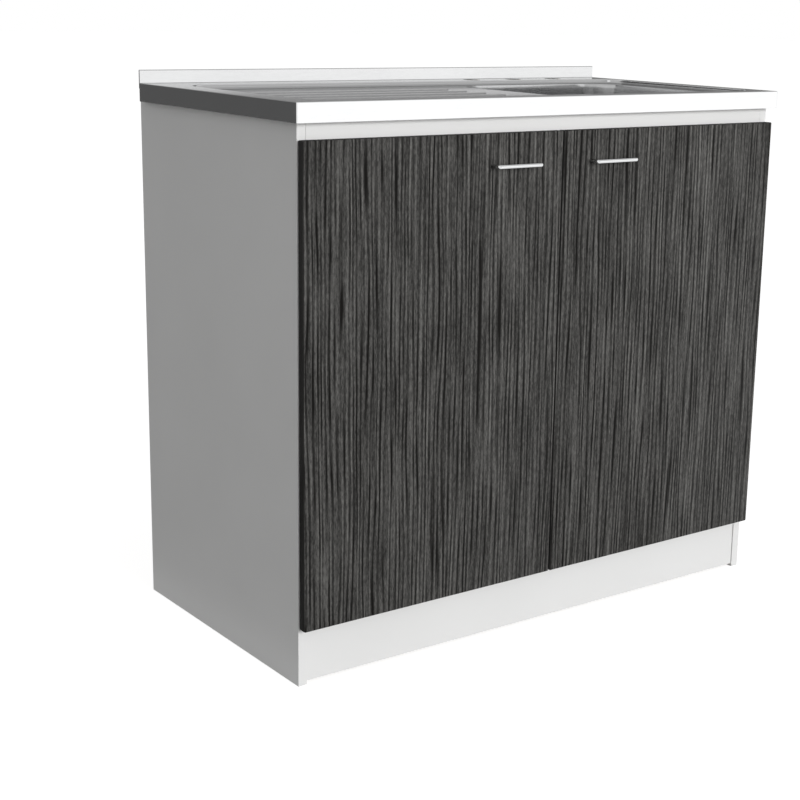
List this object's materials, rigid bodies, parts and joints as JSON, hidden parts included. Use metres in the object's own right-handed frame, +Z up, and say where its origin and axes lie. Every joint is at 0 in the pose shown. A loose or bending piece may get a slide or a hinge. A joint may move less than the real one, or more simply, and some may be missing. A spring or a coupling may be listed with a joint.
{
  "type": "kitchen sink unit",
  "caption": "Free-standing kitchen sink unit: a white cabinet with dark wood-grain doors under a pressed steel sink top with drainer, bowl and upstand.",
  "frame": {"origin": "centre of the bounding box on the floor", "axes": "+X to the right along the worktop, -Y to the front where the doors face, +Z up"},
  "size_m": [1, 0.542, 0.922],
  "materials": {
    "white_melamine": "satin white melamine on chipboard",
    "back_board": "white lacquered hardboard",
    "dark_grain": "dark grey vertical wood grain laminate",
    "handle_chrome": "polished chrome",
    "stainless": "satin stainless steel",
    "fitting_zinc": "zinc plated",
    "hinge_steel": "nickel plated",
    "white_plastic": "moulded white plastic",
    "gasket_rubber": "matt black rubber",
    "lath_wood": "sawn softwood"
  },
  "bodies": {
    "cabinet": {"side_panel_left": "white_melamine", "side_panel_right": "white_melamine", "bottom_panel": "white_melamine", "front_rail": "white_melamine", "back_rail": "white_melamine", "kick_board": "white_melamine", "back_panel": "back_board", "cam_bottom_1": "fitting_zinc", "cam_bottom_2": "fitting_zinc", "cam_bottom_3": "fitting_zinc", "cam_bottom_4": "fitting_zinc", "cam_front_rail_1": "fitting_zinc", "cam_front_rail_2": "fitting_zinc", "cam_back_rail_1": "fitting_zinc", "cam_back_rail_2": "fitting_zinc", "kick_bracket_left": "white_plastic", "kick_bracket_right": "white_plastic", "sink_top": "stainless", "sink_bowl": "stainless", "strainer_dish": "stainless", "waste_gasket": "gasket_rubber", "waste_body": "white_plastic", "waste_screw": "fitting_zinc", "lath_front": "lath_wood", "lath_left": "lath_wood", "lath_back": "lath_wood", "sink_clip_front_left": "fitting_zinc", "sink_clip_front_right": "fitting_zinc", "sink_clip_back_left": "fitting_zinc", "sink_clip_back_right": "fitting_zinc", "hinge_arm_left_bottom": "hinge_steel", "hinge_plate_left_bottom": "hinge_steel", "hinge_arm_left_top": "hinge_steel", "hinge_plate_left_top": "hinge_steel", "hinge_arm_right_bottom": "hinge_steel", "hinge_plate_right_bottom": "hinge_steel", "hinge_arm_right_top": "hinge_steel", "hinge_plate_right_top": "hinge_steel"},
    "door_leaf_left": {"door_left": "dark_grain", "handle_left": "handle_chrome", "handle_screw_left_1": "fitting_zinc", "handle_screw_left_2": "fitting_zinc", "door_bumper_left": "white_plastic", "hinge_cup_left_bottom": "hinge_steel", "hinge_cup_left_top": "hinge_steel"},
    "link_left_bottom": {"hinge_link_left_bottom": "hinge_steel"},
    "link_left_top": {"hinge_link_left_top": "hinge_steel"},
    "door_leaf_right": {"door_right": "dark_grain", "handle_right": "handle_chrome", "handle_screw_right_1": "fitting_zinc", "handle_screw_right_2": "fitting_zinc", "door_bumper_right": "white_plastic", "hinge_cup_right_bottom": "hinge_steel", "hinge_cup_right_top": "hinge_steel"},
    "link_right_bottom": {"hinge_link_right_bottom": "hinge_steel"},
    "link_right_top": {"hinge_link_right_top": "hinge_steel"},
    "basket": {"strainer_basket": "stainless"}
  },
  "joints": [
    {"name": "door_left_swing", "type": "hinge", "parent": "cabinet", "child": "door_leaf_left", "pos_m": [-0.4838, -0.2446, 0.47], "axis": [0, 0, -1], "range_deg": [0, 95]},
    {"name": "link_left_bottom_turn", "type": "hinge", "parent": "cabinet", "child": "link_left_bottom", "pos_m": [-0.4615, -0.2406, 0.195], "axis": [0, 0, 1], "range_deg": [0, 39]},
    {"name": "link_left_top_turn", "type": "hinge", "parent": "cabinet", "child": "link_left_top", "pos_m": [-0.4615, -0.2406, 0.745], "axis": [0, 0, 1], "range_deg": [0, 39]},
    {"name": "door_right_swing", "type": "hinge", "parent": "cabinet", "child": "door_leaf_right", "pos_m": [0.4838, -0.2446, 0.47], "axis": [0, 0, 1], "range_deg": [0, 95]},
    {"name": "link_right_bottom_turn", "type": "hinge", "parent": "cabinet", "child": "link_right_bottom", "pos_m": [0.4615, -0.2406, 0.195], "axis": [0, 0, -1], "range_deg": [0, 39]},
    {"name": "link_right_top_turn", "type": "hinge", "parent": "cabinet", "child": "link_right_top", "pos_m": [0.4615, -0.2406, 0.745], "axis": [0, 0, -1], "range_deg": [0, 39]},
    {"name": "basket_lift", "type": "slide", "parent": "cabinet", "child": "basket", "axis": [0, 0, 1], "range_m": [0, 0.2]}
  ],
  "couplings": [
    {"joint": "link_left_bottom_turn", "follows": "door_left_swing", "ratio": 0.41},
    {"joint": "link_left_top_turn", "follows": "door_left_swing", "ratio": 0.41},
    {"joint": "link_right_bottom_turn", "follows": "door_right_swing", "ratio": 0.41},
    {"joint": "link_right_top_turn", "follows": "door_right_swing", "ratio": 0.41}
  ]
}
